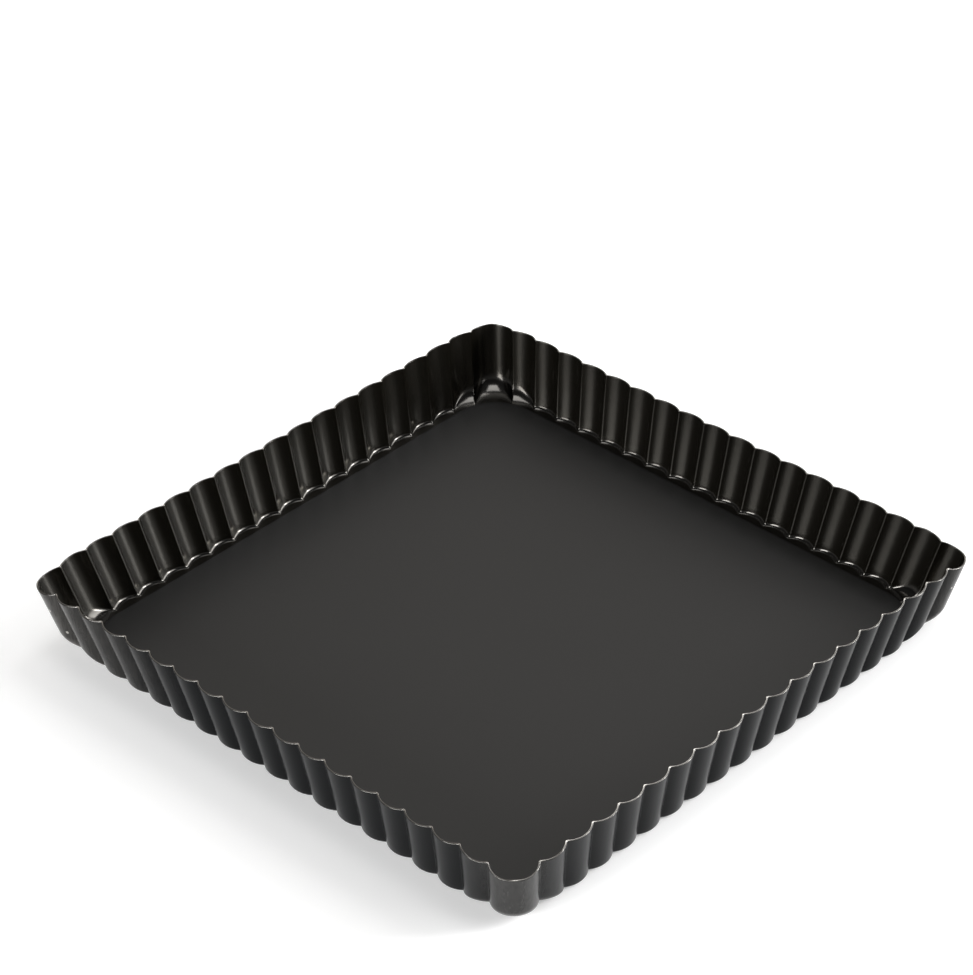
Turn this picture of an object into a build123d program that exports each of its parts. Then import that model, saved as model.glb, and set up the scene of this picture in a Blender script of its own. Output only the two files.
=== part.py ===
from build123d import *
import math
import os

# Square fluted tart pan with a loose base: a one-piece pressed shell with a large round
# push-out hole in its floor, and a flat base plate that rests on that floor.
# Millimetres, +Z up, origin at the centre of the underside.

# Driving dimensions
PAN_HEIGHT = 26.0
RIM_HALF_SIDE = 111.5  # centre of the pan to the ridge tips at the rim, on the middle of the sheet
FLOOR_RATIO = 0.947  # size of the fluted outline at the floor, against its size at the rim
SHEET = 0.6  # thickness of the shell's sheet
BEND_RADIUS = 2.0  # outside radius of the bend between the floor and the wall

FLUTES_PER_SIDE = 17
FLUTE_PITCH = 11.8  # ridge tip to ridge tip at the rim
FLUTE_DEPTH = 2.0  # ridge tip to lobe crest, square to the side
RIDGE_RADIUS = 0.6  # middle of the sheet at a ridge tip
CORNER_CREST = 111.2  # x and y of the crest of a corner lobe at the rim

CORNER_DIP_START = 146.0  # distance from the centre where the rim starts to dip to a corner
CORNER_DIP_SLOPE = 0.16

HOLE_RADIUS = 66.2
BASE_HALF_SIDE = 102.4
BASE_CORNER_RADIUS = 17.0
BASE_SHEET = 0.8

BEND_BANDS = 3  # flat bands that make up the bend
CLEAR = 5.0  # how far a cutting tool runs past what it cuts

# Worked out from the driving dimensions
HALF_PITCH = FLUTE_PITCH / 2
LAST_TIP = FLUTES_PER_SIDE * HALF_PITCH
CENTRES_APART = (HALF_PITCH**2 + FLUTE_DEPTH**2) / (2 * FLUTE_DEPTH)
LOBE_RADIUS = CENTRES_APART - RIDGE_RADIUS
LOBE_CENTRE = RIM_HALF_SIDE + FLUTE_DEPTH - LOBE_RADIUS
RIDGE_CENTRE = RIM_HALF_SIDE + RIDGE_RADIUS
FLANK_ANGLE = math.asin(HALF_PITCH / CENTRES_APART)


def corner_lobe():
    """Centre (x = y) and radius of the corner lobe that meets both of its ridges tangentially."""
    # (LAST_TIP - c)^2 + (RIDGE_CENTRE - c)^2 = ((CORNER_CREST - c) * sqrt(2) + RIDGE_RADIUS)^2
    # has no square term in c, so it is linear in c.
    reach = CORNER_CREST * math.sqrt(2) + RIDGE_RADIUS
    constant = LAST_TIP**2 + RIDGE_CENTRE**2 - reach**2
    slope = 2 * (LAST_TIP + RIDGE_CENTRE) - 2 * math.sqrt(2) * reach
    centre = constant / slope
    return centre, (CORNER_CREST - centre) * math.sqrt(2)


def turned(point, quarter):
    """A point of the +Y side, turned clockwise by a number of quarter turns."""
    x, y = point
    for _ in range(quarter):
        x, y = y, -x
    return x, y


def side_arcs(offset):
    """Arcs of the +Y side and its corner, as (start, middle, end), at an offset out of the sheet."""
    lobe_radius = LOBE_RADIUS + offset
    ridge_radius = RIDGE_RADIUS - offset
    corner, corner_radius = corner_lobe()
    corner_radius += offset

    def on_lobe(centre_x, angle):
        return centre_x + lobe_radius * math.sin(angle), LOBE_CENTRE + lobe_radius * math.cos(angle)

    def on_ridge(centre_x, angle):
        return centre_x + ridge_radius * math.sin(angle), RIDGE_CENTRE - ridge_radius * math.cos(angle)

    arcs = []
    for flute in range(FLUTES_PER_SIDE):
        crest_x = (flute + 0.5) * FLUTE_PITCH - LAST_TIP
        tip_x = crest_x + HALF_PITCH
        lobe = [on_lobe(crest_x, angle) for angle in (-FLANK_ANGLE, 0, FLANK_ANGLE)]
        arcs.append(lobe)
        if flute < FLUTES_PER_SIDE - 1:
            ridge = [on_ridge(tip_x, angle) for angle in (-FLANK_ANGLE, 0, FLANK_ANGLE)]
            arcs.append(ridge)

    # The last ridge turns further than the others, until it meets the corner lobe.
    end_angle = math.atan2(corner - LAST_TIP, RIDGE_CENTRE - corner)
    middle_angle = (end_angle - FLANK_ANGLE) / 2
    last_ridge = [on_ridge(LAST_TIP, angle) for angle in (-FLANK_ANGLE, middle_angle, end_angle)]
    crest = corner + corner_radius / math.sqrt(2)
    lobe_start = last_ridge[-1]
    lobe_end = (lobe_start[1], lobe_start[0])
    first_ridge = [(y, x) for x, y in reversed(last_ridge)]
    arcs += [last_ridge, [lobe_start, (crest, crest), lobe_end], first_ridge]
    return arcs


def outline(offset, scale, height):
    """The closed fluted outline at one height."""
    edges = []
    for quarter in range(4):
        for arc in side_arcs(offset):
            points = [turned(point, quarter) for point in arc]
            edges.append(ThreePointArc(*[(x * scale, y * scale, height) for x, y in points]))
    return Wire(edges)


def pressed_form(offset, radius, floor_height, top_height):
    """The closed form under one face of the sheet: flat floor, bend and leaning wall."""
    rim_reach = RIM_HALF_SIDE + offset
    outer_rim = RIM_HALF_SIDE + SHEET / 2
    outer_foot = outer_rim * FLOOR_RATIO
    lean = math.atan2(PAN_HEIGHT, outer_rim - outer_foot)
    bend_start = outer_foot - BEND_RADIUS * math.tan(lean / 2)

    sections = []
    for band in range(BEND_BANDS + 1):
        angle = lean * band / BEND_BANDS
        reach = bend_start + radius * math.sin(angle)
        height = floor_height + radius * (1 - math.cos(angle))
        sections.append((reach, height))
    foot_reach, foot_height = sections[-1]
    growth = (rim_reach - foot_reach) / (PAN_HEIGHT - foot_height)
    sections.append((foot_reach + growth * (top_height - foot_height), top_height))

    wires = [outline(offset, reach / rim_reach, height) for reach, height in sections]
    return Solid.make_loft(wires, ruled=True)


def corner_trim():
    """The conical cut that lets the raw edge dip a little at each corner."""
    far = 1.2 * CORNER_DIP_START
    drop = (far - CORNER_DIP_START) * CORNER_DIP_SLOPE
    corners = [
        (CORNER_DIP_START, PAN_HEIGHT),
        (far, PAN_HEIGHT - drop),
        (far, PAN_HEIGHT + CLEAR),
        (CORNER_DIP_START, PAN_HEIGHT + CLEAR),
    ]
    profile = Plane.XZ * make_face(Polyline(*corners, close=True))
    return revolve(profile, Axis.Z)


def fluted_shell():
    outside = pressed_form(SHEET / 2, BEND_RADIUS, 0, PAN_HEIGHT)
    inside = pressed_form(-SHEET / 2, BEND_RADIUS - SHEET, SHEET, PAN_HEIGHT + CLEAR)
    hole = Cylinder(HOLE_RADIUS, 2 * CLEAR)
    return outside - inside - hole - corner_trim()


def loose_base():
    side = 2 * BASE_HALF_SIDE
    plan = RectangleRounded(side, side, BASE_CORNER_RADIUS)
    return Pos(0, 0, SHEET) * extrude(plan, BASE_SHEET)


parts = {"fluted_shell": fluted_shell(), "loose_base": loose_base()}

os.makedirs("parts", exist_ok=True)
for name, shape in parts.items():
    shape.label = name
    export_step(shape, f"parts/{name}.step")
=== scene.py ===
import math

import bpy
import numpy as np
from mathutils import Matrix, Vector


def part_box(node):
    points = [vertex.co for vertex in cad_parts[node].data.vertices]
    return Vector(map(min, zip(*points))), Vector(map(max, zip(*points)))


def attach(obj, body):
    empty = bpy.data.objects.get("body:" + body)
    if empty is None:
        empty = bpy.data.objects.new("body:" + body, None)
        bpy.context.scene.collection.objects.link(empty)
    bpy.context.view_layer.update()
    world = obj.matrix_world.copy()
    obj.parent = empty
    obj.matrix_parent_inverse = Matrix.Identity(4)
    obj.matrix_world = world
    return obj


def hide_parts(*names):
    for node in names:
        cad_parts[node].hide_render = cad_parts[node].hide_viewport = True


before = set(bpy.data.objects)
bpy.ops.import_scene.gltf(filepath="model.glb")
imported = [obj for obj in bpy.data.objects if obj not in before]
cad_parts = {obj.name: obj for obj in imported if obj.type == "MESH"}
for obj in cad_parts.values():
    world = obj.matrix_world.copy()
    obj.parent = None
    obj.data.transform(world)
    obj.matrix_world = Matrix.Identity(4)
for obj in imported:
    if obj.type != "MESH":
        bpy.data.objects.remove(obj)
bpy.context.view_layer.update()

# ---------------------------------------------------------------- sizes, in metres

shell_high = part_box("fluted_shell")[1]
base_low, base_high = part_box("loose_base")

HEIGHT = shell_high.z
SHEET = base_low.z  # the seated base lies on the shell's floor
HALF_SHEET = SHEET / 2
FLUTES_PER_SIDE = 17
FLUTE_DEPTH = 0.0020
RIDGE_RADIUS = 0.0006  # of the narrow ridges between the flutes, mid-sheet
TIP_REACH = shell_high.x - HALF_SHEET - FLUTE_DEPTH  # centre to ridge tips, mid-sheet, at the rim
PITCH = 0.0118
LAST_TIP = FLUTES_PER_SIDE * PITCH / 2  # how far along its side the last ridge tip lies
CORNER_CREST = TIP_REACH - 0.0003  # x and y of the crest of the corner lobe, mid-sheet, at the rim
FLOOR_RATIO = 0.947  # foot of the wall to its rim, seen from above
HOLE_RADIUS = 0.0662

BEND_RADIUS = 0.0017  # floor to wall, mid-sheet, along the sides
CORNER_BEND_RADIUS = 0.0075
WIDE_BEND_FROM = 0.1424  # distances from the centre between which the bend widens to the corner's
WIDE_BEND_FULLY = 0.152
LOBE_DIP = 0.0004  # the raw edge is a little lower on each lobe
CORNER_DIP_START = 0.146  # beyond this distance from the centre the rim drops, by this slope
CORNER_DIP_SLOPE = 0.16
EDGE_ROUND = 0.00016  # rounding of the raw edges
EDGE_SUPPORT = 3 * EDGE_ROUND  # how far below the rim a row keeps the wall flat
BASE_CORNER_RADIUS = 0.017

# ---------------------------------------------------------------- wear of the coating

# corner as signs of x and y, turn round the lobe from its crest in degrees, share of the wall's
# height, radius
CHIPS = [
    ((-1, -1), 40, 0.63, 0.00055),
    ((-1, -1), 66, 0.33, 0.00060),
    ((-1, -1), 28, 0.95, 0.00050),
    ((1, 1), -46, 0.60, 0.00042),
]
CHIP_UNEVENNESS = 0.0003
CHIP_EDGE = 0.00008  # width of the fade round a chip
RIM_WEAR_AT_LOBES = 0.27  # share of bare metal on the raw edge
RIM_WEAR_AT_RIDGES = 0.8
CORNER_WEAR = 0.049  # share of steel showing through the stretched coating outside each corner
CORNER_WEAR_STREAKS = (0.65, 1.35)  # least and most of it, from streak to streak
CORNER_FOOT_WEAR = 2.0  # how much more of it round the foot
THIN_FROM = 0.1445  # distances from the centre between which the coating thins out
THIN_FULLY = 0.1570
# painted lightening: one corner's outside, and the wall beside it, get extra steel that makes them lighter
# than the other corners
LIGHTENED_CORNER = (-1, -1)  # signs of its x and y
CORNER_LIGHTENING = 1.8  # how much more steel shows outside it than at the other corners, painted lightening of that corner and the wall beside it
LIGHTENING_FROM = 0.115
LIGHTENING_FULLY = 0.155
INSIDE_BEND_WEAR = 0.22  # share of steel at the middle of the bend, inside

# ---------------------------------------------------------------- colours, roughness and grain

STEEL = (0.55, 0.53, 0.50, 1)
BARE_ROUGHNESS = 0.25
METAL_GAIN = 8  # a place with an eighth of its steel showing already mirrors like metal

OUTSIDE_TONES = ((0.0022, 0.0026, 0.0030, 1), (0.0065, 0.0070, 0.0075, 1))
OUTSIDE_ROUGHNESS = (0.19, 0.27)
OUTSIDE_BURNISHED = 0.16
OUTSIDE_SPECULAR = 0.09
INSIDE_TONES = ((0.0022, 0.0019, 0.0013, 1), (0.0036, 0.0031, 0.0022, 1))
INSIDE_FLOOR_ROUGHNESS = (0.28, 0.33)
INSIDE_WALL_ROUGHNESS = (0.22, 0.27)
INSIDE_BURNISHED = 0.15
INSIDE_SPECULAR = 0.5
INSIDE_SPECULAR_TINT = (1.0, 0.95, 0.85, 1)
BASE_TONES = ((0.0100, 0.0098, 0.0096, 1), (0.0120, 0.0118, 0.0116, 1))
BASE_ROUGHNESS = (0.40, 0.44)
BASE_SPECULAR = 0.30

UPRIGHT_STREAKS = (1, 1, 0.05)  # stretches noise up the wall
FINE_UPRIGHT_STREAKS = (1, 1, 0.02)
FINE_GRAIN = 1500  # a noise scale is about its number of spots per metre

# ---------------------------------------------------------------- small helpers


def smooth(low, high, x):
    t = np.clip((x - low) / (high - low), 0, 1)
    return t * t * (3 - 2 * t)


def make_piece(name, vertices, faces, body, node):
    """A mesh that rides on a body and stands for a CAD node."""
    mesh = bpy.data.meshes.new(name)
    mesh.from_pydata(vertices, [], faces)
    mesh.validate()
    mesh.shade_smooth()
    piece = bpy.data.objects.new(name, mesh)
    bpy.context.scene.collection.objects.link(piece)
    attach(piece, body)
    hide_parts(node)
    return piece


def set_attribute(piece, name, values):
    attribute = piece.data.attributes.new(name, "FLOAT", "POINT")
    attribute.data.foreach_set("value", np.asarray(values, np.float32))


def grid_faces(rows, columns, close_rows):
    """Quads of a grid whose columns close on themselves, and its rows too if asked."""
    faces = []
    for row in range(rows if close_rows else rows - 1):
        above = (row + 1) % rows
        for column in range(columns):
            beside = (column + 1) % columns
            faces.append((
                row * columns + column,
                row * columns + beside,
                above * columns + beside,
                above * columns + column,
            ))
    return faces


# ---------------------------------------------------------------- the fluted outline

LOBE_POINTS = 14
RIDGE_POINTS = 6
CORNER_LOBE_POINTS = 36
CORNER_RIDGE_POINTS = 8


def arc_points(centre, radius, start, end, count):
    """Points on a circle and its radial directions. Angles run clockwise from +Y."""
    angles = np.linspace(start, end, count, endpoint=False)
    directions = np.stack([np.sin(angles), np.cos(angles)], axis=1)
    return np.asarray(centre) + radius * directions, directions


def corner_lobe():
    """Centre (x = y) and radius of the corner lobe at the rim. It meets both its ridges smoothly."""
    ridge_y = TIP_REACH + RIDGE_RADIUS
    reach = CORNER_CREST * math.sqrt(2) + RIDGE_RADIUS
    constant = LAST_TIP**2 + ridge_y**2 - reach**2
    centre = constant / (2 * (LAST_TIP + ridge_y) - 2 * math.sqrt(2) * reach)
    return centre, (CORNER_CREST - centre) * math.sqrt(2)


def fluted_outline():
    """Mid-sheet points of the rim outline, clockwise, with normals out of the pan."""
    half_pitch = PITCH / 2
    centres_apart = (half_pitch**2 + FLUTE_DEPTH**2) / (2 * FLUTE_DEPTH)
    lobe_radius = centres_apart - RIDGE_RADIUS
    lobe_y = TIP_REACH + FLUTE_DEPTH - lobe_radius
    ridge_y = TIP_REACH + RIDGE_RADIUS
    flank = math.asin(half_pitch / centres_apart)

    corner, corner_radius = corner_lobe()
    corner_flank = math.atan2(corner - LAST_TIP, ridge_y - corner)

    points = []
    normals = []

    def add_lobe(centre, radius, start, end, count):
        where, outward = arc_points(centre, radius, start, end, count)
        points.append(where)
        normals.append(outward)

    def add_ridge(centre, start, end, count):
        where, inward = arc_points(centre, RIDGE_RADIUS, start + math.pi, end + math.pi, count)
        points.append(where)
        normals.append(-inward)

    for flute in range(FLUTES_PER_SIDE):
        crest_x = (flute + 0.5) * PITCH - LAST_TIP
        add_lobe((crest_x, lobe_y), lobe_radius, -flank, flank, LOBE_POINTS)
        if flute < FLUTES_PER_SIDE - 1:
            add_ridge((crest_x + half_pitch, ridge_y), flank, -flank, RIDGE_POINTS)
    past_corner = math.pi / 2 + corner_flank
    add_ridge((LAST_TIP, ridge_y), flank, -corner_flank, CORNER_RIDGE_POINTS)
    add_lobe((corner, corner), corner_radius, -corner_flank, past_corner, CORNER_LOBE_POINTS)
    add_ridge((ridge_y, LAST_TIP), past_corner, math.pi / 2 - flank, CORNER_RIDGE_POINTS)

    side_points = np.concatenate(points)
    side_normals = np.concatenate(normals)
    quarter_turn = np.array([[0, -1], [1, 0]])
    all_points = []
    all_normals = []
    for _ in range(4):
        all_points.append(side_points)
        all_normals.append(side_normals)
        side_points = side_points @ quarter_turn
        side_normals = side_normals @ quarter_turn
    return np.concatenate(all_points), np.concatenate(all_normals)


# ---------------------------------------------------------------- the shell


def lobe_share(outline):
    """For each point of the outline, 0 on the tip of a ridge and 1 on the crest of a lobe."""
    reach = np.abs(outline).max(axis=1)
    return np.clip((reach - TIP_REACH) / FLUTE_DEPTH, 0, 1)


def shell_sections(outline):
    """Radius and start of the bend, lean of the wall, and height of the raw edge. All but the lean
    have a value for each point of the outline."""
    distance = np.hypot(outline[:, 0], outline[:, 1])
    # 1 at the corner lobe, 0 from the third lobe on
    corner_share = smooth(WIDE_BEND_FROM, WIDE_BEND_FULLY, distance)
    bend = BEND_RADIUS + (CORNER_BEND_RADIUS - BEND_RADIUS) * corner_share

    lean = math.atan2(HEIGHT, TIP_REACH * (1 - FLOOR_RATIO))
    wall_foot = TIP_REACH * (FLOOR_RATIO + (1 - FLOOR_RATIO) * HALF_SHEET / HEIGHT)
    bend_start = wall_foot - bend * math.tan(lean / 2)

    top = HEIGHT - LOBE_DIP * lobe_share(outline)
    top = top - CORNER_DIP_SLOPE * np.clip(distance - CORNER_DIP_START, 0, None)
    return bend, bend_start, lean, top


def wear_shares(outline):
    """For each point of the outline: how much of a ridge it is, bare metal on the raw edge above it,
    and how thin the coating is outside, with painted lightening added as extra steel near one corner."""
    ridge_share = (1 - lobe_share(outline)) ** 4  # near 1 only on the ridges
    rim_wear = RIM_WEAR_AT_LOBES + (RIM_WEAR_AT_RIDGES - RIM_WEAR_AT_LOBES) * ridge_share
    distance = np.hypot(outline[:, 0], outline[:, 1])
    thin_and_lightened_share = smooth(THIN_FROM, THIN_FULLY, distance)
    # painted lightening: extra steel share outside one corner, added to the real thinning at every corner
    near_lightened_corner = (outline * LIGHTENED_CORNER > 0).all(axis=1)
    thin_and_lightened_share = thin_and_lightened_share + near_lightened_corner * CORNER_LIGHTENING * smooth(LIGHTENING_FROM, LIGHTENING_FULLY, distance)
    return ridge_share, rim_wear, thin_and_lightened_share


def build_shell():
    outline, normals = fluted_outline()
    bend, bend_start, lean, top = shell_sections(outline)
    ridge_share, rim_wear, thin_and_lightened_share = wear_shares(outline)
    columns = len(outline)
    polar = np.arctan2(outline[:, 1], outline[:, 0])
    circle = np.stack([np.cos(polar), np.sin(polar)], axis=1)

    rows = []
    bare_rows = []
    wall_rows = []
    burnished_rows = []
    thinned_and_lightened_rows = []

    def place(plan, height, bare=0.0, wall=0.0, burnished=0.0, thinned_and_lightened=0.0):
        """Add a row. wall goes from 0 on the floor to 1 on the wall, and the rest are shares of wear; the
        last also holds painted lightening near one corner.
        """
        rows.append(np.column_stack([plan, np.broadcast_to(height, columns)]))
        bare_rows.append(np.broadcast_to(bare, columns))
        wall_rows.append(np.full(columns, wall))
        burnished_rows.append(np.broadcast_to(burnished, columns))
        thinned_and_lightened_rows.append(np.broadcast_to(thinned_and_lightened, columns))

    # below, side is +1 on the outer face of the sheet and -1 on its inner face

    def floor_rows(side, shares):
        start = outline * (bend_start / TIP_REACH)[:, None]
        hole = circle * (HOLE_RADIUS + EDGE_ROUND)
        for share in shares:
            place(hole + (start - hole) * share, HALF_SHEET * (1 - side))

    def bent_row(side, share):
        turn = lean * share
        reach = bend_start + bend * math.sin(turn)
        height = HALF_SHEET + bend * (1 - math.cos(turn))
        plan = outline * (reach / TIP_REACH)[:, None]
        plan = plan + normals * (HALF_SHEET * side * math.sin(turn))
        rubbed = math.sin(math.pi * share)
        thinned_and_lightened = thin_and_lightened_share * (share + CORNER_FOOT_WEAR * rubbed) * (1 + side) / 2
        bare = INSIDE_BEND_WEAR * rubbed**2 * (1 - side) / 2
        place(plan, height - HALF_SHEET * side * math.cos(turn), bare, share, rubbed, thinned_and_lightened)

    def wall_row(side, share, below_top=0.0, sheet_share=1.0, bare=0.0):
        foot = HALF_SHEET + bend * (1 - math.cos(lean))
        middle = foot + (top - foot) * share - below_top
        reach = FLOOR_RATIO + (1 - FLOOR_RATIO) * middle / HEIGHT
        plan = outline * reach[:, None]
        plan = plan + normals * (HALF_SHEET * side * sheet_share * math.sin(lean))
        thinned_and_lightened = thin_and_lightened_share * (1 + side) / 2
        height = middle - HALF_SHEET * side * sheet_share * math.cos(lean)
        place(plan, height, bare, 1.0, ridge_share, thinned_and_lightened)

    # shares of the way from the hole to the bend, up the bend and up the wall
    floor_shares = (0.0, 0.006, 0.05, 0.25, 0.5, 0.75, 0.92)
    bend_shares = np.linspace(0, 1, 11)
    wall_shares = np.linspace(0, 1, 9)[1:-1]

    # underside, outwards, then up the outside
    floor_rows(1, floor_shares)
    for share in bend_shares:
        bent_row(1, share)
    for share in wall_shares:
        wall_row(1, share)
    wall_row(1, 1, EDGE_SUPPORT)

    # over the raw edge
    edge_angles = np.linspace(0, math.pi / 2, 4)
    round_share = EDGE_ROUND / HALF_SHEET
    for side, angles in ((1, edge_angles), (-1, reversed(edge_angles))):
        for angle in angles:
            sheet_share = 1 - round_share + round_share * math.cos(angle)
            bare = rim_wear * math.sin(angle)
            wall_row(side, 1, EDGE_ROUND * (1 - math.sin(angle)), sheet_share, bare)

    # down the inside and inwards over the floor
    first_inside_row = len(rows) - 1
    wall_row(-1, 1, EDGE_SUPPORT)
    for share in reversed(wall_shares):
        wall_row(-1, share)
    for share in reversed(bend_shares):
        bent_row(-1, share)
    floor_rows(-1, reversed(floor_shares))

    # the stamped edge of the hole
    for height in (SHEET - EDGE_ROUND, HALF_SHEET, EDGE_ROUND):
        place(circle * HOLE_RADIUS, height)

    vertices = np.concatenate(rows)
    faces = [tuple(reversed(face)) for face in grid_faces(len(rows), columns, close_rows=True)]
    shell = make_piece("fluted_shell_pressing", vertices, faces, "shell", "fluted_shell")
    set_attribute(shell, "bare_metal", np.concatenate(bare_rows))
    set_attribute(shell, "wall", np.concatenate(wall_rows))
    set_attribute(shell, "burnished", np.concatenate(burnished_rows))
    set_attribute(shell, "thinned_and_lightened", np.concatenate(thinned_and_lightened_rows))
    shell.data.materials.append(shell_outside())
    shell.data.materials.append(shell_inside())
    face_rows = np.arange(len(faces)) // columns
    shell.data.polygons.foreach_set("material_index", (face_rows >= first_inside_row).astype(np.int32))
    return shell


# ---------------------------------------------------------------- the base plate


def rounded_square(half_side, radius, per_corner=24, per_side=16):
    """Points of a square with round corners, anticlockwise from above."""
    inner = half_side - radius
    points = []
    for quarter in range(4):
        turn = quarter * math.pi / 2
        diagonal = turn + math.pi / 4
        centre = inner * math.sqrt(2) * np.array([math.cos(diagonal), math.sin(diagonal)])
        angles = np.linspace(turn, turn + math.pi / 2, per_corner)
        arc = centre + radius * np.stack([np.cos(angles), np.sin(angles)], axis=1)
        points.append(arc)
        following = turn + math.pi / 2
        along = np.linspace(inner, -inner, per_side + 1)[1:-1]
        outward = np.array([math.cos(following), math.sin(following)])
        sideways = np.array([math.sin(following), -math.cos(following)])
        points.append(outward * half_side + along[:, None] * sideways)
    return np.concatenate(points)


def build_base():
    half_side = base_high.x
    low = base_low.z
    high = base_high.z
    rows = []

    def place(inset, height, scale=1.0):
        plan = rounded_square(half_side - inset, BASE_CORNER_RADIUS - inset) * scale
        rows.append(np.column_stack([plan, np.full(len(plan), height)]))

    # outwards over the top, round the edge, and inwards under it, with a small face in the middle
    fractions = (0.02, 0.25, 0.5, 0.75, 0.93, 0.99)
    edge_angles = np.linspace(0, math.pi / 2, 5)
    for fraction in fractions:
        place(EDGE_ROUND, high, fraction)
    for angle in edge_angles:
        place(EDGE_ROUND * (1 - math.sin(angle)), high - EDGE_ROUND * (1 - math.cos(angle)))
    for angle in reversed(edge_angles):
        place(EDGE_ROUND * (1 - math.sin(angle)), low + EDGE_ROUND * (1 - math.cos(angle)))
    for fraction in reversed(fractions):
        place(EDGE_ROUND, low, fraction)

    columns = len(rows[0])
    vertices = np.concatenate(rows)
    faces = [tuple(reversed(face)) for face in grid_faces(len(rows), columns, close_rows=False)]
    faces.append(tuple(range(columns)))
    faces.append(tuple(reversed(range((len(rows) - 1) * columns, len(rows) * columns))))
    base = make_piece("loose_base_plate", vertices, faces, "base", "loose_base")
    base.data.materials.append(base_coating())
    return base


# ---------------------------------------------------------------- materials


def show_steel(nodes, links, shader, bare, tone):
    """Blend the coating's tone to bare steel. Thin coating over steel mirrors before it turns pale."""
    links.new(mix(nodes, links, bare, tone, STEEL, "RGBA"), shader.inputs["Base Color"])
    metal = nodes.new("ShaderNodeMath")
    metal.operation = "MULTIPLY"
    metal.use_clamp = True
    links.new(bare, metal.inputs[0])
    metal.inputs[1].default_value = METAL_GAIN
    links.new(metal.outputs[0], shader.inputs["Metallic"])


def new_material(name):
    material = bpy.data.materials.new(name)
    material.use_nodes = True
    nodes = material.node_tree.nodes
    shader = nodes["Principled BSDF"]
    return material, nodes, material.node_tree.links, shader


def noise(nodes, links, position, scale, detail, roughness=0.5):
    texture = nodes.new("ShaderNodeTexNoise")
    texture.inputs["Scale"].default_value = scale
    texture.inputs["Detail"].default_value = detail
    texture.inputs["Roughness"].default_value = roughness
    links.new(position, texture.inputs["Vector"])
    return texture.outputs["Fac"]


def ramp(nodes, links, value, places, greys):
    """From the first grey to the second while value goes from the first place to the second."""
    node = nodes.new("ShaderNodeValToRGB")
    for element, place, grey in zip(node.color_ramp.elements, places, greys):
        element.position = place
        element.color = (grey, grey, grey, 1)
    links.new(value, node.inputs["Fac"])
    return node.outputs["Color"]


def mix(nodes, links, factor, first, second, kind="FLOAT"):
    node = nodes.new("ShaderNodeMix")
    node.data_type = kind
    inputs = {socket.name: socket for socket in node.inputs if socket.enabled}
    for name, value in (("A", first), ("B", second)):
        if isinstance(value, bpy.types.NodeSocket):
            links.new(value, inputs[name])
        else:
            inputs[name].default_value = value
    links.new(factor, inputs["Factor"])
    return next(socket for socket in node.outputs if socket.enabled)


def calculate(nodes, links, operation, first, second):
    node = nodes.new("ShaderNodeMath")
    node.operation = operation
    links.new(first, node.inputs[0])
    links.new(second, node.inputs[1])
    return node.outputs[0]


def attribute(nodes, name):
    node = nodes.new("ShaderNodeAttribute")
    node.attribute_name = name
    return node.outputs["Fac"]


def add_bump(nodes, links, shader, layers):
    """layers are (height, strength, distance), from the lowest up."""
    normal = None
    for height, strength, distance in layers:
        bump = nodes.new("ShaderNodeBump")
        bump.inputs["Strength"].default_value = strength
        bump.inputs["Distance"].default_value = distance
        links.new(height, bump.inputs["Height"])
        if normal:
            links.new(normal, bump.inputs["Normal"])
        normal = bump.outputs["Normal"]
    links.new(normal, shader.inputs["Normal"])


def scaled(nodes, links, value, scale):
    node = nodes.new("ShaderNodeMapping")
    node.inputs["Scale"].default_value = scale
    links.new(value, node.inputs["Vector"])
    return node.outputs["Vector"]


def rough_position(nodes, links, position):
    """The position, shifted a little by noise, so that a spot's outline is uneven."""
    texture = nodes.new("ShaderNodeTexNoise")
    texture.inputs["Scale"].default_value = FINE_GRAIN
    links.new(position, texture.inputs["Vector"])
    shift = nodes.new("ShaderNodeVectorMath")
    shift.operation = "MULTIPLY_ADD"
    links.new(texture.outputs["Color"], shift.inputs[0])
    shift.inputs[1].default_value = (CHIP_UNEVENNESS,) * 3
    links.new(position, shift.inputs[2])
    return shift.outputs["Vector"]


def corner_chips():
    """Centre and radius of the few small chips in the coating, on two corner lobes."""
    chips = []
    centre, lobe = corner_lobe()
    for signs, turn, rise, radius in CHIPS:
        scale = FLOOR_RATIO + (1 - FLOOR_RATIO) * rise
        angle = math.pi / 4 + math.radians(turn)
        x = (centre + lobe * math.cos(angle)) * scale + HALF_SHEET * math.cos(angle)
        y = (centre + lobe * math.sin(angle)) * scale + HALF_SHEET * math.sin(angle)
        shift = CHIP_UNEVENNESS / 2
        chips.append(((signs[0] * x + shift, signs[1] * y + shift, HEIGHT * rise + shift), radius))
    return chips


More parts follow.
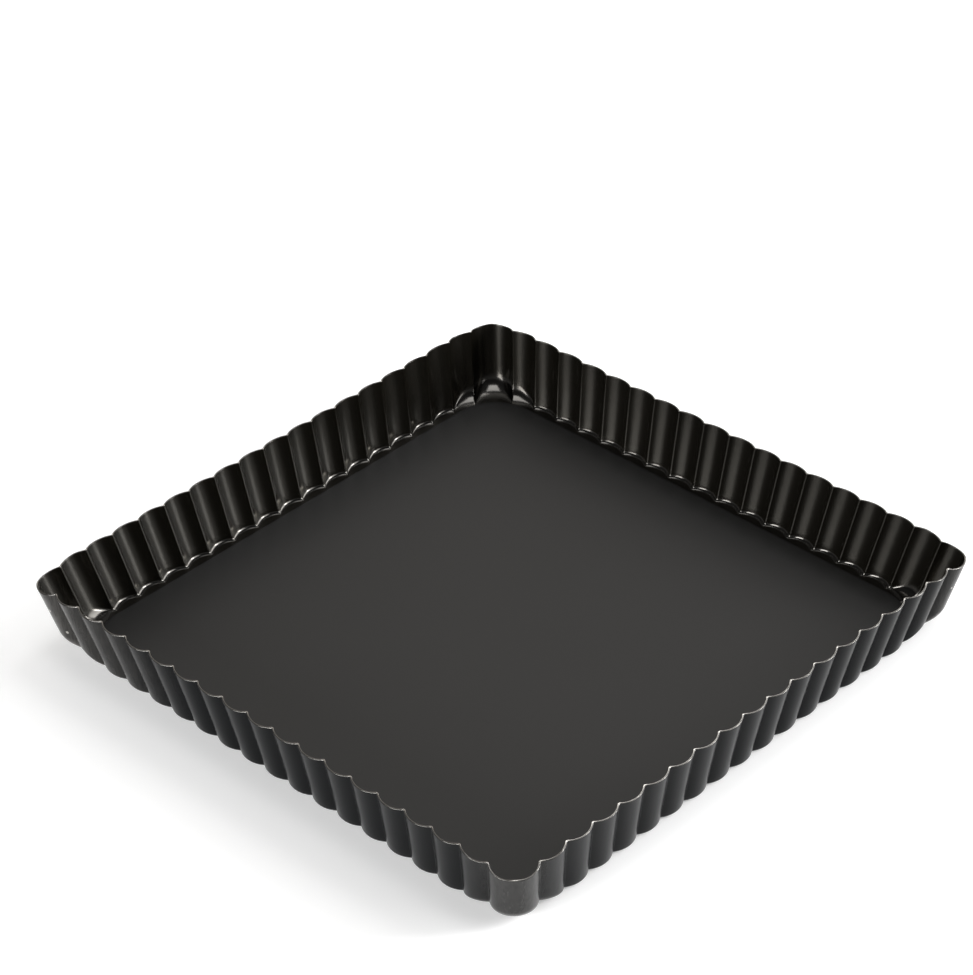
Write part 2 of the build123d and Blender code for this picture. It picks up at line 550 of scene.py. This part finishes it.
def shell_outside():
    """Cool, mottled dark coating, chipped at the corners and rubbed to bare steel on the raw edge."""
    material, nodes, links, shader = new_material("shell_outside")
    position = nodes.new("ShaderNodeTexCoord").outputs["Object"]
    stretched = scaled(nodes, links, position, UPRIGHT_STREAKS)
    streaks = noise(nodes, links, stretched, scale=700, detail=3, roughness=0.6)
    mottle = noise(nodes, links, position, scale=900, detail=4, roughness=0.65)
    tone = mix(nodes, links, mottle, *OUTSIDE_TONES, "RGBA")

    finely_stretched = scaled(nodes, links, position, FINE_UPRIGHT_STREAKS)
    fine = noise(nodes, links, finely_stretched, FINE_GRAIN, detail=2)
    streaky = ramp(nodes, links, fine, (0.30, 0.70), [share * CORNER_WEAR for share in CORNER_WEAR_STREAKS])
    # steel through the thin coating at the corners, plus painted lightening at one corner
    thin_coat_and_lightening = calculate(nodes, links, "MULTIPLY", streaky, attribute(nodes, "thinned_and_lightened"))
    bare = calculate(nodes, links, "MAXIMUM", attribute(nodes, "bare_metal"), thin_coat_and_lightening)
    for place, radius in corner_chips():
        reach = nodes.new("ShaderNodeVectorMath")
        reach.operation = "DISTANCE"
        links.new(rough_position(nodes, links, position), reach.inputs[0])
        reach.inputs[1].default_value = place
        inside = nodes.new("ShaderNodeMath")
        inside.operation = "MULTIPLY_ADD"
        inside.use_clamp = True
        links.new(reach.outputs["Value"], inside.inputs[0])
        inside.inputs[1].default_value = -1 / CHIP_EDGE
        inside.inputs[2].default_value = radius / CHIP_EDGE
        bare = calculate(nodes, links, "MAXIMUM", bare, inside.outputs[0])

    show_steel(nodes, links, shader, bare, tone)
    satin = ramp(nodes, links, streaks, (0.35, 0.65), OUTSIDE_ROUGHNESS)
    rubbed = mix(nodes, links, attribute(nodes, "burnished"), satin, OUTSIDE_BURNISHED)
    links.new(mix(nodes, links, bare, rubbed, BARE_ROUGHNESS), shader.inputs["Roughness"])
    walls_only = calculate(nodes, links, "MULTIPLY", streaks, attribute(nodes, "wall"))
    add_bump(nodes, links, shader, [(walls_only, 0.12, 0.00003), (mottle, 0.06, 0.00002)])
    shader.inputs["Specular IOR Level"].default_value = OUTSIDE_SPECULAR
    return material


def shell_inside():
    """Warm, smooth, glossier non-stick coating."""
    material, nodes, links, shader = new_material("shell_inside")
    position = nodes.new("ShaderNodeTexCoord").outputs["Object"]
    stretched = scaled(nodes, links, position, UPRIGHT_STREAKS)
    streaks = noise(nodes, links, stretched, scale=500, detail=2)
    cloud = noise(nodes, links, position, scale=26, detail=3)
    tone = mix(nodes, links, cloud, *INSIDE_TONES, "RGBA")
    show_steel(nodes, links, shader, attribute(nodes, "bare_metal"), tone)
    satin_floor = ramp(nodes, links, cloud, (0.3, 0.7), INSIDE_FLOOR_ROUGHNESS)
    satin_wall = ramp(nodes, links, cloud, (0.3, 0.7), INSIDE_WALL_ROUGHNESS)
    satin = mix(nodes, links, attribute(nodes, "wall"), satin_floor, satin_wall)
    rubbed = mix(nodes, links, attribute(nodes, "burnished"), satin, INSIDE_BURNISHED)
    links.new(rubbed, shader.inputs["Roughness"])
    walls_only = calculate(nodes, links, "MULTIPLY", streaks, attribute(nodes, "wall"))
    add_bump(nodes, links, shader, [(walls_only, 0.045, 0.00003)])
    shader.inputs["Specular IOR Level"].default_value = INSIDE_SPECULAR
    shader.inputs["Specular Tint"].default_value = INSIDE_SPECULAR_TINT
    return material


def base_coating():
    """The same kind of coating on flat sheet: even, satin and neutral grey."""
    material, nodes, links, shader = new_material("base_nonstick")
    position = nodes.new("ShaderNodeTexCoord").outputs["Object"]
    cloud = noise(nodes, links, position, scale=18, detail=3)
    grain = noise(nodes, links, position, scale=1600, detail=3, roughness=0.6)
    links.new(mix(nodes, links, cloud, *BASE_TONES, "RGBA"), shader.inputs["Base Color"])
    links.new(ramp(nodes, links, grain, (0.3, 0.7), BASE_ROUGHNESS), shader.inputs["Roughness"])
    add_bump(nodes, links, shader, [(grain, 0.06, 0.00003)])
    shader.inputs["Specular IOR Level"].default_value = BASE_SPECULAR
    return material


# ---------------------------------------------------------------- studio

FLOOR_LEVEL = -0.0001  # just under the pan
FLOOR_HALF_SIDE = 4.0
PAPER_TONES = ((0.90, 0.90, 0.90, 1), (0.92, 0.92, 0.92, 1))
PAPER_ROUGHNESS = 0.9
PAPER_SPECULAR = 0.2
PAPER_GLOW = 0.22  # keeps the ground white and its shadow pale under soft lamps
WORLD_STRENGTH = 0.06


def build_floor():
    mesh = bpy.data.meshes.new("studio_floor")
    signs = ((-1, -1), (1, -1), (1, 1), (-1, 1))
    corners = [(x * FLOOR_HALF_SIDE, y * FLOOR_HALF_SIDE, FLOOR_LEVEL) for x, y in signs]
    mesh.from_pydata(corners, [], [(0, 1, 2, 3)])
    floor = bpy.data.objects.new("studio_floor", mesh)
    bpy.context.scene.collection.objects.link(floor)
    material, nodes, links, shader = new_material("studio_paper")
    position = nodes.new("ShaderNodeTexCoord").outputs["Object"]
    grain = noise(nodes, links, position, scale=40, detail=2)
    links.new(mix(nodes, links, grain, *PAPER_TONES, "RGBA"), shader.inputs["Base Color"])
    shader.inputs["Roughness"].default_value = PAPER_ROUGHNESS
    shader.inputs["Specular IOR Level"].default_value = PAPER_SPECULAR
    shader.inputs["Emission Color"].default_value = (1, 1, 1, 1)
    shader.inputs["Emission Strength"].default_value = PAPER_GLOW
    mesh.materials.append(material)


def softbox(name, bearing, distance, width, height, radiance, colour=(1, 1, 1), shape="RECTANGLE"):
    """A soft flat lamp that faces the object. bearing is its angle round from the camera, to the
    camera's right, and its angle above the floor, in degrees. The camera doesn't see it."""
    light = bpy.data.lights.new(name, "AREA")
    light.shape = shape
    light.size = width
    light.size_y = height
    light.energy = radiance * math.pi * width * height
    light.color = colour
    lamp = bpy.data.objects.new(name, light)
    direction = towards(VIEW_AZIMUTH + math.radians(bearing[0]), math.radians(bearing[1]))
    lamp.location = direction * distance
    lamp.rotation_mode = "QUATERNION"
    lamp.rotation_quaternion = direction.to_track_quat("Z", "Y")
    lamp.visible_camera = False
    bpy.context.scene.collection.objects.link(lamp)


VIEW_AZIMUTH = math.radians(44.6)  # round from -Y, anticlockwise from above
VIEW_ELEVATION = math.radians(34.88)
VIEW_ROLL = math.radians(-1.4)
VIEW_DISTANCE = 1.1395
AIM_RIGHT = -0.0044  # how far the camera is moved sideways and upwards in its own picture plane
AIM_UP = 0.0479
LENS = 123.2  # in millimetres


def towards(azimuth, elevation):
    """The direction from the centre to a place, with azimuth round from -Y."""
    across = math.cos(elevation)
    return Vector((math.sin(azimuth) * across, -math.cos(azimuth) * across, math.sin(elevation)))


view_back = towards(VIEW_AZIMUTH, VIEW_ELEVATION)
view_right = Vector((math.cos(VIEW_AZIMUTH), math.sin(VIEW_AZIMUTH), 0))
view_up = view_back.cross(view_right)


def build_camera():
    camera = bpy.data.cameras.new("photo_view")
    camera.lens = LENS
    camera.clip_start = 0.01
    camera.clip_end = 50
    eye = bpy.data.objects.new("photo_view", camera)
    cosine = math.cos(VIEW_ROLL)
    sine = math.sin(VIEW_ROLL)
    right = view_right * cosine + view_up * sine
    up = view_up * cosine - view_right * sine
    eye.location = view_back * VIEW_DISTANCE + view_right * AIM_RIGHT + view_up * AIM_UP
    eye.rotation_mode = "QUATERNION"
    eye.rotation_quaternion = Matrix((right, up, view_back)).transposed().to_quaternion()
    bpy.context.scene.collection.objects.link(eye)
    bpy.context.scene.camera = eye


def build_lights():
    softbox("key_right", (91, 19), distance=2.4, width=0.5, height=1.3, radiance=26.0, shape="ELLIPSE")
    softbox("wide_right", (98, 27), distance=2.5, width=3.6, height=1.4, radiance=4.2)
    warm = (1.0, 0.955, 0.89)
    softbox("backdrop", (183, 35), distance=3.0, width=2.8, height=3.0, radiance=0.75, colour=warm)
    softbox("top", (180, 84), distance=2.6, width=1.2, height=1.2, radiance=2.5)
    softbox("fill_left", (-50, 20), distance=2.6, width=1.5, height=1.2, radiance=13.0)
    softbox("rim_right", (156, 54), distance=2.8, width=0.7, height=0.7, radiance=5.0)
    world = bpy.data.worlds.new("studio")
    world.use_nodes = True
    background = world.node_tree.nodes["Background"]
    background.inputs["Color"].default_value = (1, 1, 1, 1)
    background.inputs["Strength"].default_value = WORLD_STRENGTH
    bpy.context.scene.world = world


# ---------------------------------------------------------------- build

build_camera()
build_lights()
build_floor()

build_shell()
build_base()

bpy.context.scene.view_settings.view_transform = "Standard"
